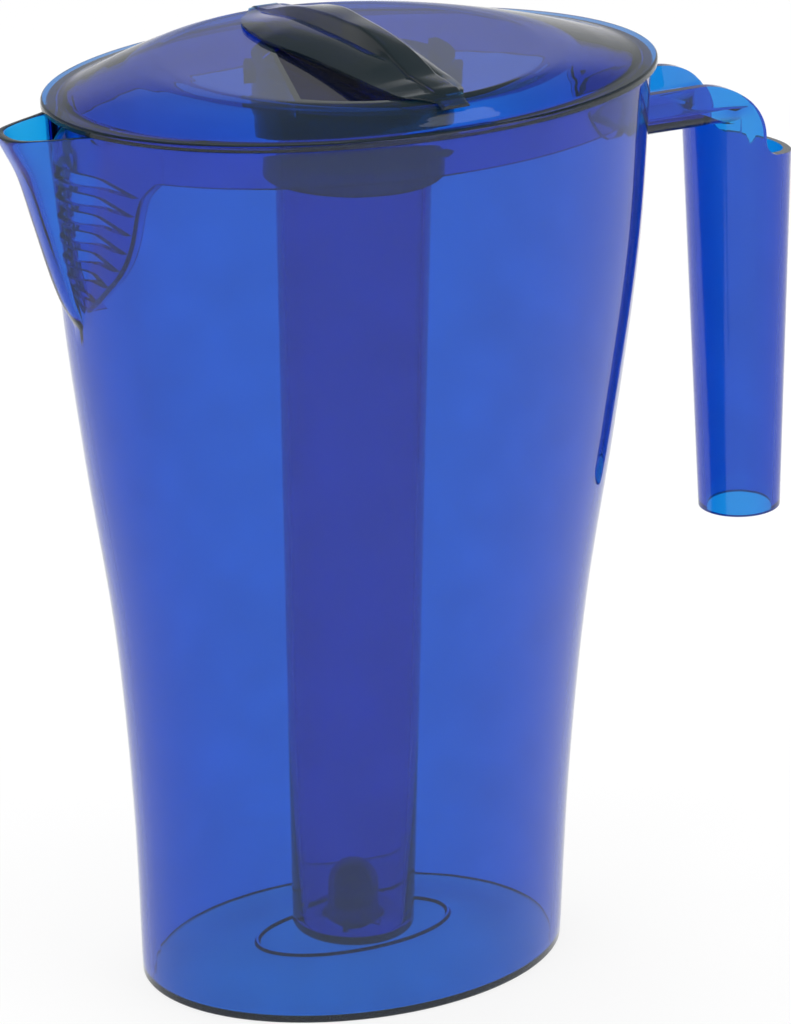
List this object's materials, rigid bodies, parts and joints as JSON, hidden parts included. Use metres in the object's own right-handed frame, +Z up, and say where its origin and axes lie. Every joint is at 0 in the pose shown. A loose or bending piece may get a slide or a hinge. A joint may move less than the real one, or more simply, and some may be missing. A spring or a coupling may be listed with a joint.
{
  "type": "pitcher with ice core",
  "caption": "Tall oval pitcher with an open trough handle, a drawn-out spout, a lift-off strainer lid and a twist-off ice tube that hangs from the lid.",
  "frame": {"origin": "centre of the jug's flat base, on the axis of the ice tube", "axes": "+Z is up, the spout points to -X and the handle to +X"},
  "size_m": [0.2371, 0.1184, 0.2651],
  "materials": {
    "body_plastic": "clear blue, polished",
    "lid_plastic": "clear blue, polished",
    "socket_plastic": "smoky blue, glossy",
    "collar_plastic": "smoky blue, glossy",
    "seal_rubber": "matt",
    "tube_plastic": "clear deep blue, polished"
  },
  "bodies": {
    "jug": {"jug_body": "body_plastic", "handle": "body_plastic"},
    "lid": {"lid_shell": "lid_plastic", "lid_grip": "lid_plastic", "core_socket": "socket_plastic"},
    "core": {"core_collar": "collar_plastic", "core_seal": "seal_rubber", "ice_tube": "tube_plastic"}
  },
  "joints": [
    {"name": "lid_lift", "type": "slide", "parent": "jug", "child": "lid", "axis": [0, 0, 1], "range_m": [0, 0.26]},
    {"name": "core_twist", "type": "hinge", "parent": "lid", "child": "core", "pos_m": [0, 0, 0.24], "axis": [0, 0, -1], "range_deg": [0, 35]}
  ]
}
